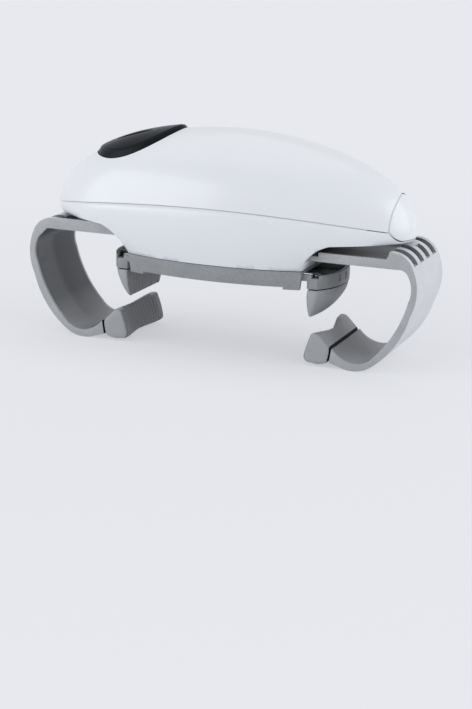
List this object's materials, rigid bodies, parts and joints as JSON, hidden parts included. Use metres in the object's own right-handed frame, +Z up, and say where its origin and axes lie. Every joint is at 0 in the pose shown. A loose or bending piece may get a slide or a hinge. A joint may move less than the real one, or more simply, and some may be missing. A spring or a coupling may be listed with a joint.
{
  "type": "electric jar opener",
  "caption": "Egg-shaped battery-driven jar opener: one oval button, bowed side arms that hold the jar and toothed jaws on a turntable that grip and unscrew the lid.",
  "frame": {"origin": "centre of the lid seat: where the turntable's axis meets the lower face of the rubber lid pad", "axes": "+Z up along the turntable's axis, +X along the housing towards the battery door, -Y towards the front"},
  "size_m": [0.1996, 0.0676, 0.1061],
  "materials": {
    "white_gloss": "gloss",
    "black_satin": "satin",
    "silver_grey": "satin",
    "grey_rubber": "matte",
    "bright_steel": "polished",
    "motor_steel": "brushed",
    "cell_sleeve": "satin",
    "board_green": "satin",
    "acetal": "satin",
    "dark_plastic": "matte"
  },
  "bodies": {
    "housing": {"top_shell": "white_gloss", "bottom_shell": "white_gloss", "hub_bush": "acetal", "shell_screws": "bright_steel", "gearbox_base": "dark_plastic", "gearbox_deck": "dark_plastic", "gearbox_screws": "bright_steel", "worm_gearbox": "dark_plastic", "motor_can": "motor_steel", "planet_carrier": "acetal", "planet_pins": "bright_steel", "switch_bridge": "dark_plastic", "switch_board": "board_green", "tact_switch": "dark_plastic", "battery_cells": "cell_sleeve", "battery_contacts": "bright_steel", "button_spring": "bright_steel"},
    "button": {"power_button": "black_satin"},
    "door": {"battery_door": "white_gloss", "door_link_plate": "bright_steel"},
    "arm_left": {"jar_arm_left": "silver_grey", "arm_pad_left": "grey_rubber"},
    "arm_right": {"jar_arm_right": "silver_grey", "arm_pad_right": "grey_rubber"},
    "arm_gear": {"arm_gear": "acetal"},
    "planet_1": {"planet_gear_1": "acetal"},
    "planet_2": {"planet_gear_2": "acetal"},
    "planet_3": {"planet_gear_3": "acetal"},
    "sun": {"sun_gear": "acetal"},
    "motor_shaft": {"motor_pinion": "acetal"},
    "turntable": {"lid_carrier": "silver_grey", "carrier_ring": "dark_plastic", "ring_screws": "bright_steel", "carrier_bridge": "silver_grey", "bridge_screws": "bright_steel", "lid_pad": "grey_rubber"},
    "jaw_left": {"jaw_slider_left": "silver_grey", "jaw_tip_left": "grey_rubber", "jaw_screws_left": "bright_steel"},
    "jaw_right": {"jaw_slider_right": "silver_grey", "jaw_tip_right": "grey_rubber", "jaw_screws_right": "bright_steel"},
    "lid_pinion": {"lid_pinion": "acetal"}
  },
  "joints": [
    {"name": "button_press", "type": "slide", "parent": "housing", "child": "button", "axis": [0, 0, -1], "range_m": [0, 0.0012], "stiffness_N_per_m": 900, "springref_m": -0.0012, "deforming": ["button_spring"]},
    {"name": "battery_door_slide", "type": "slide", "parent": "housing", "child": "door", "axis": [1, 0, 0], "range_m": [0, 0.016]},
    {"name": "arm_left_slide", "type": "slide", "parent": "housing", "child": "arm_left", "axis": [1, 0, 0], "range_m": [0, 0.026]},
    {"name": "arm_right_slide", "type": "slide", "parent": "housing", "child": "arm_right", "axis": [-1, 0, 0], "range_m": [0, 0.026]},
    {"name": "arm_gear_spin", "type": "hinge", "parent": "housing", "child": "arm_gear", "pos_m": [0, 0, 0.0229], "axis": [0, 0, 1], "range_deg": [0, 187]},
    {"name": "planet_1_spin", "type": "hinge", "parent": "housing", "child": "planet_1", "pos_m": [0, 0.012, 0.0263], "axis": [0, 0, 1], "range_deg": [0, 560]},
    {"name": "planet_2_spin", "type": "hinge", "parent": "housing", "child": "planet_2", "pos_m": [-0.01039, -0.006, 0.0263], "axis": [0, 0, 1], "range_deg": [0, 560]},
    {"name": "planet_3_spin", "type": "hinge", "parent": "housing", "child": "planet_3", "pos_m": [0.01039, -0.006, 0.0263], "axis": [0, 0, 1], "range_deg": [0, 560]},
    {"name": "sun_spin", "type": "hinge", "parent": "housing", "child": "sun", "pos_m": [0, 0, 0.0295], "axis": [0, 0, 1], "range_deg": [-560, 0]},
    {"name": "motor_shaft_spin", "type": "hinge", "parent": "housing", "child": "motor_shaft", "pos_m": [-0.024, 0, 0.0319], "axis": [0, 0, 1], "range_deg": [0, 1680]},
    {"name": "turntable_spin", "type": "hinge", "parent": "housing", "child": "turntable", "pos_m": [0, 0, 0.009], "axis": [0, 0, 1], "continuous": true},
    {"name": "jaw_left_slide", "type": "slide", "parent": "turntable", "child": "jaw_left", "axis": [1, 0, 0], "range_m": [0, 0.026]},
    {"name": "jaw_right_slide", "type": "slide", "parent": "turntable", "child": "jaw_right", "axis": [-1, 0, 0], "range_m": [0, 0.026]},
    {"name": "lid_pinion_spin", "type": "hinge", "parent": "turntable", "child": "lid_pinion", "pos_m": [0, 0, 0.0045], "axis": [0, 0, 1], "range_deg": [0, 249]}
  ],
  "couplings": [
    {"joint": "arm_right_slide", "follows": "arm_left_slide", "ratio": 1},
    {"joint": "arm_gear_spin", "follows": "arm_left_slide", "rad_per_m": 125},
    {"joint": "planet_1_spin", "follows": "arm_left_slide", "rad_per_m": 375},
    {"joint": "planet_2_spin", "follows": "arm_left_slide", "rad_per_m": 375},
    {"joint": "planet_3_spin", "follows": "arm_left_slide", "rad_per_m": 375},
    {"joint": "sun_spin", "follows": "arm_left_slide", "rad_per_m": -375},
    {"joint": "motor_shaft_spin", "follows": "arm_left_slide", "rad_per_m": 1125},
    {"joint": "jaw_right_slide", "follows": "jaw_left_slide", "ratio": 1},
    {"joint": "lid_pinion_spin", "follows": "jaw_left_slide", "rad_per_m": 166.67}
  ]
}
